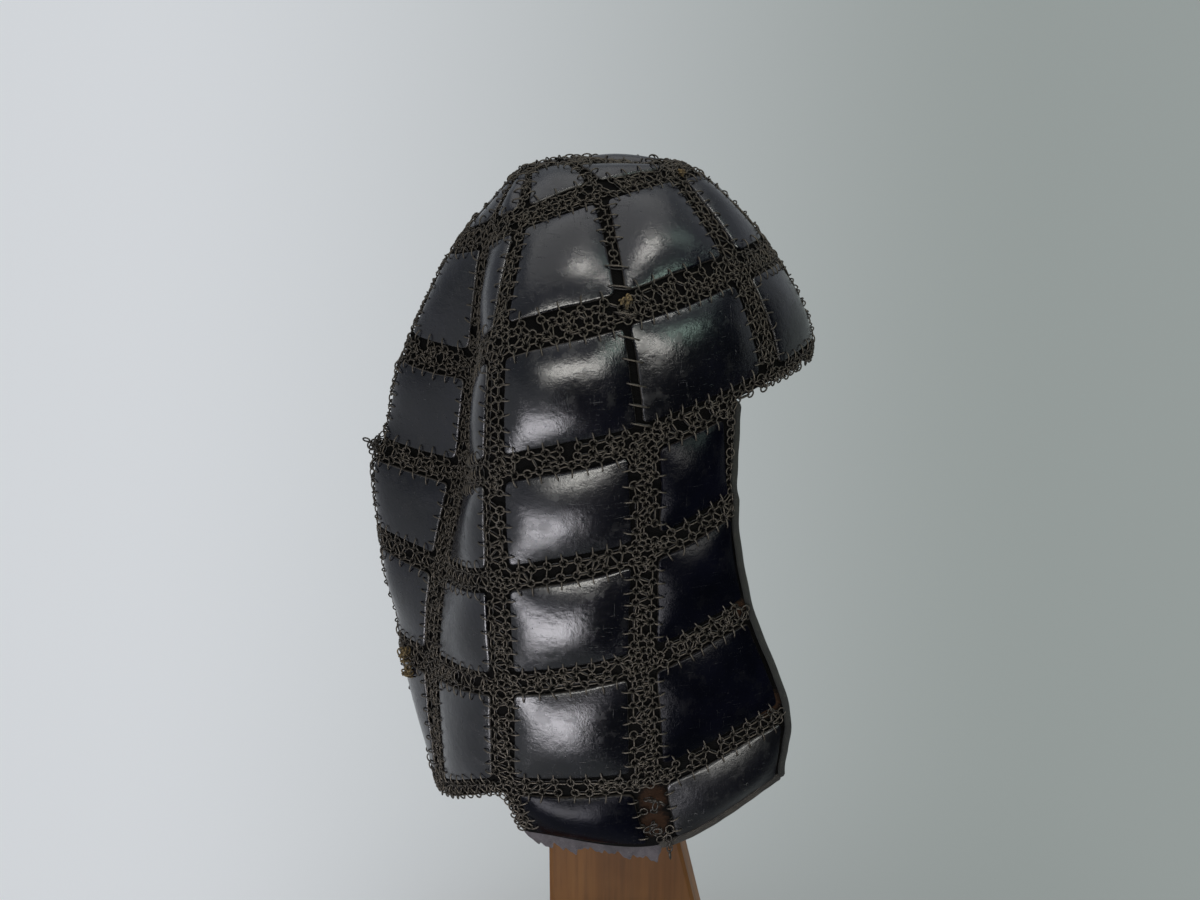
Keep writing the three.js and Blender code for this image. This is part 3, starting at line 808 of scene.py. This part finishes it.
def mail_of(side, side_name):
    """Rings lying flat, links on edge between neighbours, hooks on edge from the rings through the holes
    near the plates' rims, and in the slit long links from plate to plate. Returns the rings."""
    filled = FILL[0][:, 0] < (1 if side < 0 else -0.1)
    along_rims = [ROUND_PLATES[part][KEPT] for part in (0, 1, 3, 4)]
    centres, normals, u, v = [np.concatenate([a, b[filled]]) for a, b in zip(along_rims, FILL)]
    centres, normals = on_side(side, centres, u, v), turned(side, normals)
    if side < 0:
        torn = [np.linalg.norm(centres - np.array(point), axis=1) < TORN_RADIUS for point in TORN]
        whole = ~np.any(torn, axis=0)
        centres, normals = centres[whole], normals[whole]
    count = len(centres)
    centres = centres + chance.normal(0, 0.25, centres.shape) + normals * RING_RISE
    flat = unit(normals + chance.normal(0, 0.16, normals.shape))
    along = unit(np.cross(flat, chance.normal(0, 1, normals.shape)))
    radii = RING_RADIUS + chance.normal(0, 0.1, count)
    points, faces = wire_loops(centres, along, np.cross(flat, along), radii,
                               radii * chance.uniform(0.92, 1.06, count),
                               RING_WIRE + chance.normal(0, 0.025, count), *RING_COUNTS)
    # The painted highlight on the side of each ring's wire that faces away from the cloth
    high = np.tile(upper_share(RING_COUNTS[1]), count * RING_COUNTS[0])
    rings = add_piece(f"mail_rings_{side_name}", points, faces, RING_IRON, {"high": high})
    first, second, gaps = pairs_within(centres, LINK_REACH, LINKS_EACH)
    along = unit(centres[second] - centres[first])
    up = square_to(normals[first] + normals[second] + chance.normal(0, 0.25, along.shape), along)
    half = np.maximum(gaps / 2 - RING_RADIUS + RING_WIRE + LINK_WIRE + 0.35, 1.25)
    add_loops(f"mail_links_{side_name}", (centres[first] + centres[second]) / 2, along, up, half,
              LOOP_RISE, LINK_WIRE, LINK_COUNTS)
    centres, normals, away, u, v = ROUND_PLATES
    centres, normals, away = on_side(side, centres, u, v), turned(side, normals), turned(side, away)
    inner = HOLE_INSIDE_RIM + chance.normal(0, 0.35, len(centres))
    outer = RING_FROM_RIM - RING_RADIUS + 1.1
    along = square_to(away + chance.normal(0, 0.16, away.shape), normals)
    up = unit(square_to(normals, along) + chance.normal(0, 0.12, along.shape))
    middle = centres - away * RING_FROM_RIM + along * ((outer - inner) / 2)[:, None] + normals * HOOK_MIDDLE
    slit_v = SLIT_LINKS + chance.normal(0, 0.015, len(SLIT_LINKS))
    from_b = off_sheet(sides_at("b", slit_v)[1], slit_v + 0.02, HOOK_MIDDLE)
    to_c = off_sheet(sides_at("c", slit_v)[0], slit_v - 0.01, HOOK_MIDDLE)
    bridge = unit(to_c - from_b)
    bridge_half = np.linalg.norm(to_c - from_b, axis=1) / 2 + HOLE_INSIDE_RIM
    bridge_up = square_to(outward(np.full(len(slit_v), 2.0), slit_v), bridge)
    add_loops(
        f"mail_hooks_{side_name}",
        np.concatenate([middle, turned(side, (from_b + to_c) / 2)]),
        np.concatenate([along, turned(side, bridge)]), np.concatenate([up, turned(side, bridge_up)]),
        np.concatenate([(outer + inner) / 2, bridge_half]), HOOK_RISE, HOOK_WIRE, HOOK_COUNTS)
    return rings


right_rings = mail_of(-1, "right")
mail_of(1, "left")
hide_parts("mail_net")

# Loose rings and threads
CHAIN_TOP = np.array([-83.0, -37.5, 176.5])
RING_BUMP = np.array([-4.3, 109.0, 352.1])
# Knots: place, count of loops and size of a loop
KNOTS_AT = [((-79.5, -15.7, 443.1), 10, 1.9), ((-14.9, -42.0, 488.6), 7, 1.6),
            ((-21.5, 95.5, 246.6), 16, 3.0), ((-24.0, 93.0, 238.0), 10, 2.6),
            ((-80.0, -54.4, 261.8), 2, 0.6)]
HANGING = 4
LOOSE_WIRE = 0.42
LOOSE_COUNTS = (12, 6)
THREAD_COUNTS = (14, 6)


def tossed(points, spread, count):
    """Each point repeated, scattered about itself, with an axis and a way across it at random."""
    centres = np.repeat(np.atleast_2d(points), count, axis=0)
    centres = centres + chance.normal(0, 1, centres.shape) * spread
    axes = unit(chance.normal(0, 1, centres.shape))
    return centres, axes, square_to(chance.normal(0, 1, centres.shape), axes)


def loose_links():
    """A short chain hanging from the hem, oval links at the torn spots, and a bunch of rings that stands
    out at the back ridge."""
    drop = np.arange(HANGING)[:, None]
    chain = CHAIN_TOP + drop * np.array([0.1, -0.35, -2.9]) + chance.normal(0, 0.2, (HANGING, 3))
    down = np.tile([0.05, -0.1, -1.0], (HANGING, 1)) + chance.normal(0, 0.1, (HANGING, 3))
    sideways = np.where(drop % 2 == 0, np.array([0.2, 1.0, 0.0]), np.array([1.0, -0.2, 0.0]))
    down = unit(down)
    torn, torn_along, torn_across = tossed(TORN, 2.2, 7)
    torn = torn + np.array([-1.2, 0, 0])
    bunch, bunch_along, bunch_across = tossed(RING_BUMP, (1.6, 1.0, 2.0), 14)
    centres = np.concatenate([chain, torn, bunch])
    along = np.concatenate([down, torn_along, bunch_along])
    across = np.concatenate([square_to(sideways, down), torn_across, bunch_across])
    counts = [HANGING, len(torn), len(bunch)]
    half_along = np.repeat([2.1, 2.2, 1.8], counts)
    half_across = np.repeat([1.3, 1.2, 1.7], counts)
    points, faces = wire_loops(centres, along, across, half_along, half_across, LOOSE_WIRE, *LOOSE_COUNTS)
    # An even share of the painted highlight over all loose links
    high = np.full(len(points), 0.3)
    add_piece("loose_links", points, faces, RING_IRON, {"high": high})


def thread_knots():
    """Knots and a tuft of ochre thread: bundles of short loops about each place."""
    parts = [tossed(np.array(place), size * 0.45, count) for place, count, size in KNOTS_AT]
    centres, along, across = [np.concatenate(column) for column in zip(*parts)]
    size = np.concatenate([np.full(count, size) for _, count, size in KNOTS_AT])
    half = size * chance.uniform(0.7, 1.2, len(size))
    points, faces = wire_loops(centres, along, across, half, half * chance.uniform(0.25, 0.7, len(size)),
                               np.minimum(LOOSE_WIRE, size * 0.4), *THREAD_COUNTS)
    add_piece("thread_knots", points, faces, ochre_thread())


loose_links()
thread_knots()

# Lining
LINING_WALL = 1.8
CLOTH_COUNTS = (24, 30, 34)
CELL = 46
MERGED_WITHIN = 2e-6


def lining_shell(side):
    """The cloth under mail and plates, a lattice over the sheet: lowered by the seat outside and by the
    wall more inside, with a rim wherever a face has no neighbour. The two sides meet on x = 0."""
    levels = np.concatenate([np.linspace(-1, 0, 8), np.linspace(0, HEM, 78), [BROW_ROW, NAPE_HEM]])
    levels = np.unique(levels)
    shares = [np.linspace(0, 1, count, endpoint=False) for count in CLOTH_COUNTS]
    edge = opening_at(levels)[None]
    u = np.concatenate([
        shares[0][:, None] * edge,
        edge + shares[1][:, None] * (3 - edge),
        3 + 2 * shares[2][:, None] + 0 * edge,
        np.full((1, len(levels)), 5.0),
    ])
    v = np.broadcast_to(levels, u.shape)
    lines, stations = u.shape
    faces = grid_faces(lines, stations)
    line, level = faces[:, 0] // stations, levels[faces[:, 0] % stations]
    in_hood = (level < BROW_ROW - 1e-6) | (line >= CLOTH_COUNTS[0])
    in_hood &= (level < NAPE_HEM - 1e-6) | (line < CLOTH_COUNTS[0] + CLOTH_COUNTS[1])
    faces = faces[in_hood]
    outer = on_side(side, off_sheet(u, v, -SEAT), u, v)
    inner = on_side(side, off_sheet(u, v, -SEAT - LINING_WALL), u, v)
    for wall in (outer, inner):
        wall[0, v[0] <= BROW_ROW, 0] = 0
        wall[-1, :, 0] = 0
    outer, inner = outer.reshape(-1, 3), inner.reshape(-1, 3)
    edges = np.concatenate([faces[:, [k, (k + 1) % 4]] for k in range(4)])
    ends = np.sort(edges, axis=1)
    _, index, times = np.unique(ends, axis=0, return_index=True, return_counts=True)
    rim = edges[index[times == 1]]
    rim = rim[~((np.abs(outer[rim[:, 0], 0]) < 1e-6) & (np.abs(outer[rim[:, 1], 0]) < 1e-6))]
    rim = rim[levels[rim[:, 0] % stations] + levels[rim[:, 1] % stations] >= -1.9]
    count = len(outer)
    points = np.concatenate([outer, inner])
    walls = np.stack([rim[:, 1], rim[:, 0], rim[:, 0] + count, rim[:, 1] + count], axis=1)
    shell = np.concatenate([faces, faces[:, ::-1] + count, walls])
    used, shell = np.unique(shell, return_inverse=True)
    shell = shell.reshape(-1, 4)
    points = points[used]
    along, down = np.tile(u.ravel(), 2)[used] * CELL, np.tile(v.ravel(), 2)[used] * CELL
    return points, shell if side < 0 else shell[:, ::-1], along, down


def weld(piece):
    """Merge doubled points and turn all faces outwards."""
    shape = bmesh.new()
    shape.from_mesh(piece.data)
    bmesh.ops.remove_doubles(shape, verts=shape.verts, dist=MERGED_WITHIN)
    bmesh.ops.recalc_face_normals(shape, faces=shape.faces)
    shape.to_mesh(piece.data)
    shape.free()


def add_both(name, make, material):
    """One piece of the shapes that make gives for the right side and the left side."""
    (points, faces, along, down), (mirrored, turned_faces, _, _) = make(-1), make(1)
    return add_piece(name, np.concatenate([points, mirrored]),
                     np.concatenate([faces, turned_faces + len(points)]), material,
                     {"along": np.tile(along, 2), "down": np.tile(down, 2)})


lining = add_both("hood_lining", lining_shell, lining_cloth())
weld(lining)
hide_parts("cloth_lining")

# Trim of the lining
WELT_HALF = 1.7
TRIM_SIDES = 14
TAPER = 2
ROUND_TRIM = 9


def carried(path, normals, half_wide, half_high):
    """An oval carried along a path. It stands on the path's normal, and closes to a point at both
    ends."""
    tangent = unit(np.gradient(path, axis=0))
    normal = square_to(normals, tangent)
    wide = np.cross(tangent, normal)
    s = round_steps(TRIM_SIDES)
    at = np.arange(len(path))
    end = np.minimum(at, len(path) - 1 - at)
    size = np.sqrt(np.clip((end + 0.02) / TAPER, 0, 1))[:, None, None]
    oval = (wide[:, None] * half_wide[:, None, None] * np.cos(s)[None, :, None]
            + normal[:, None] * half_high[:, None, None] * np.sin(s)[None, :, None])
    points = (path[:, None] + oval * size).reshape(-1, 3)
    faces = grid_faces(len(path), TRIM_SIDES, False, True)
    length = np.concatenate([[0], np.cumsum(np.linalg.norm(np.diff(path, axis=0), axis=1))])
    along = np.repeat(length, TRIM_SIDES)
    down = np.tile(s / (2 * math.pi) * ROUND_TRIM, len(path))
    return points, faces, along, down


def add_trim(name, u, v, rise, half_wide, half_high, material):
    """Carry the oval along the line u, v of the sheet on both sides of the hood."""
    def make(side):
        path = on_side(side, off_sheet(u, v, rise), u, v)
        return carried(path, turned(side, outward(u, v)), half_wide, half_high)
    return add_both(name, make, material)


WELT_STATIONS = 150
BINDING_STATIONS = 70
olive = binding_cloth("olive_binding", rgb(17, 19, 14), rgb(40, 43, 31), rgb(84, 80, 64))
down_edge = np.linspace(BROW_ROW + 0.02, HEM, WELT_STATIONS)
welt_wave = 0.35 * np.sin(down_edge * 7.3) + 0.25 * np.sin(down_edge * 17.1 + 1)
welt = add_trim("opening_welt", opening_at(down_edge), down_edge, 0.7 + welt_wave,
                np.full(WELT_STATIONS, WELT_HALF), WELT_HALF + 0.2 * np.sin(down_edge * 11), olive)
brown = binding_cloth("brown_binding", rgb(34, 31, 28), rgb(78, 70, 60), rgb(104, 92, 76))
under_u = np.linspace(1.0, 2.02, BINDING_STATIONS)
near_hem = np.full(BINDING_STATIONS, HEM - 0.015)
binding = add_trim("hem_binding", under_u, near_hem, np.full(BINDING_STATIONS, 0.5),
                   np.full(BINDING_STATIONS, 2.0), 1.3 + 0.2 * np.sin(under_u * 40), brown)


def frayed_hem(side):
    """Torn lower edge of the cloth under column c: it runs on down the sheet by a sum of sines, and
    thins towards the torn edge."""
    across, deep = 120, 10
    s, t = np.meshgrid(np.linspace(0, 1, across), np.linspace(0, 1, deep), indexing="ij")
    u = 2.0 + 1.0 * s
    top, normal = sheet(u, np.full_like(u, HEM)), outward(u, np.full_like(u, HEM))
    down = unit(top - sheet(u, np.full_like(u, HEM - 0.1)))
    ragged = (8.2 + 1.8 * np.sin(s * 9 + 1) + 1.1 * np.sin(s * 31) + 0.9 * np.sin(s * 67 + 2)
              + 0.6 * np.sin(s * 131)) * np.minimum(1, np.minimum(s, 1 - s) * 12 + 0.3)
    sway = 0.9 * np.sin(s * 21 + 0.5) * t + 0.5 * np.sin(s * 53) * t ** 2
    face = top + down * (t * ragged - 1.5)[..., None] + normal * (-0.9 + sway)[..., None]
    wall = (0.7 * (1 - t) + 0.12)[..., None]
    outer, inner = face + normal * wall / 2, face - normal * wall / 2
    faces = grid_faces(across, deep)
    count = across * deep
    index = np.arange(count).reshape(across, deep)
    ring = np.concatenate([index[:, 0], index[-1, 1:], index[-2::-1, -1], index[0, -2:0:-1]])
    after = np.roll(ring, -1)
    walls = np.stack([ring, after, after + count, ring + count], axis=1)
    shell = np.concatenate([faces, faces[:, ::-1] + count, walls])
    points = turned(side, np.concatenate([outer.reshape(-1, 3), inner.reshape(-1, 3)]))
    shell = shell if side < 0 else shell[:, ::-1]
    return points, shell, np.tile((s * 60).ravel(), 2), np.tile((t * 9).ravel(), 2)


mauve = binding_cloth("mauve_hem", rgb(78, 71, 76), rgb(126, 116, 121), rgb(140, 130, 130))
fray = add_both("frayed_hem", frayed_hem, mauve)
weld(fray)

# Stand
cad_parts["stand"].data.materials.clear()
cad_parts["stand"].data.materials.append(wood())

# Floor and light
FLOOR_REACH = 60.0
floor_mesh = bpy.data.meshes.new("floor")
corners = [(x * FLOOR_REACH, y * FLOOR_REACH, 0) for x, y in ((-1, -1), (1, -1), (1, 1), (-1, 1))]
floor_mesh.from_pydata(corners, [], [(0, 1, 2, 3)])
floor_mesh.materials.append(floor_finish())
floor = bpy.data.objects.new("floor", floor_mesh)
scene.collection.objects.link(floor)

world = bpy.data.worlds.new("room")
scene.world = world
world.use_nodes = True
background = world.node_tree.nodes["Background"]
background.inputs["Color"].default_value = (0.88, 0.94, 1.0, 1.0)
background.inputs["Strength"].default_value = 0.42
scene.view_settings.view_transform = "Standard"

sun_data = bpy.data.lights.new("soft_ceiling", "SUN")
sun_data.energy = 1.15
sun_data.angle = 1.3
sun_data.color = (1.0, 0.99, 0.97)
sun = bpy.data.objects.new("soft_ceiling", sun_data)
sun.rotation_euler = (-0.15, 0.12, 0.0)
scene.collection.objects.link(sun)


def soft_light(name, place, long_way, size, power, colour, aim):
    """A rectangle of light that shows in the gloss only. It faces the aim, with its longer side the given
    way, and the camera doesn't see it."""
    data = bpy.data.lights.new(name, "AREA")
    data.shape = "RECTANGLE"
    data.size, data.size_y = size
    data.energy = power
    data.color = colour
    light = bpy.data.objects.new(name, data)
    light.location = place
    back = (Vector(place) - Vector(aim)).normalized()
    long_way = Vector(long_way)
    wide = (long_way - back * long_way.dot(back)).normalized()
    light.rotation_euler = Matrix((wide, back.cross(wide), back)).transposed().to_euler()
    light.visible_camera = False
    light.visible_diffuse = False
    scene.collection.objects.link(light)


WARM = (1.0, 0.98, 0.92)
GREEN = (0.72, 1.0, 0.86)
COOL = (0.97, 0.95, 1.0)
TEMPLE = (-0.06, 0.0, 0.43)
CROWN = (-0.05, -0.03, 0.47)
soft_light("low_window", (-0.4, 0.14, 0.115), (0, 1, 0), (0.34, 0.15), 2.7, COOL, (0, 0.14, 0.115))
soft_light("window_band", (-1.47, -0.3, 0.843), (0, 1, 0), (1.36, 0.34), 29, WARM, TEMPLE)
soft_light("green_band", (-0.89, -1.05, 1.09), (-0.788, 0.616, 0), (0.53, 0.3), 4.0, GREEN, TEMPLE)
soft_light("ceiling_strip", (-0.37, -0.32, 1.47), (0.3, -0.95, 0), (0.36, 0.12), 4.4, WARM, CROWN)
soft_light("green_strip", (-0.03, -0.83, 1.47), (0.3, -0.9, 0), (0.45, 0.08), 0.8, GREEN, CROWN)

# A dark cloth on the floor and up two walls, which shows in the gloss only
DARK_REACH = 2.2
DARK_HEIGHT = 1.9
DARK_LIFT = 0.002
dark_mesh = bpy.data.meshes.new("dark_cloth")
dark_mesh.from_pydata(
    [(-0.36, -0.02, DARK_LIFT), (-DARK_REACH, -0.02, DARK_LIFT),
     (-DARK_REACH, -DARK_REACH, DARK_LIFT), (0.35, -DARK_REACH, DARK_LIFT),
     (0.05, -0.36, DARK_LIFT), (-DARK_REACH, -0.02, DARK_HEIGHT),
     (-DARK_REACH, -DARK_REACH, DARK_HEIGHT), (0.35, -DARK_REACH, DARK_HEIGHT)],
    [], [(0, 1, 2, 3, 4), (1, 5, 6, 2), (2, 6, 7, 3)])
dark = Finish("dark_cloth", specular_ior_level=0.1, roughness=0.95)
dark.feed(base_color=dark.mix(dark.noise(30), rgb(14, 15, 16), rgb(24, 26, 26)))
dark_mesh.materials.append(dark.material)
dark_cloth = bpy.data.objects.new("dark_cloth", dark_mesh)
dark_cloth.visible_camera = False
dark_cloth.visible_diffuse = False
dark_cloth.visible_shadow = False
scene.collection.objects.link(dark_cloth)
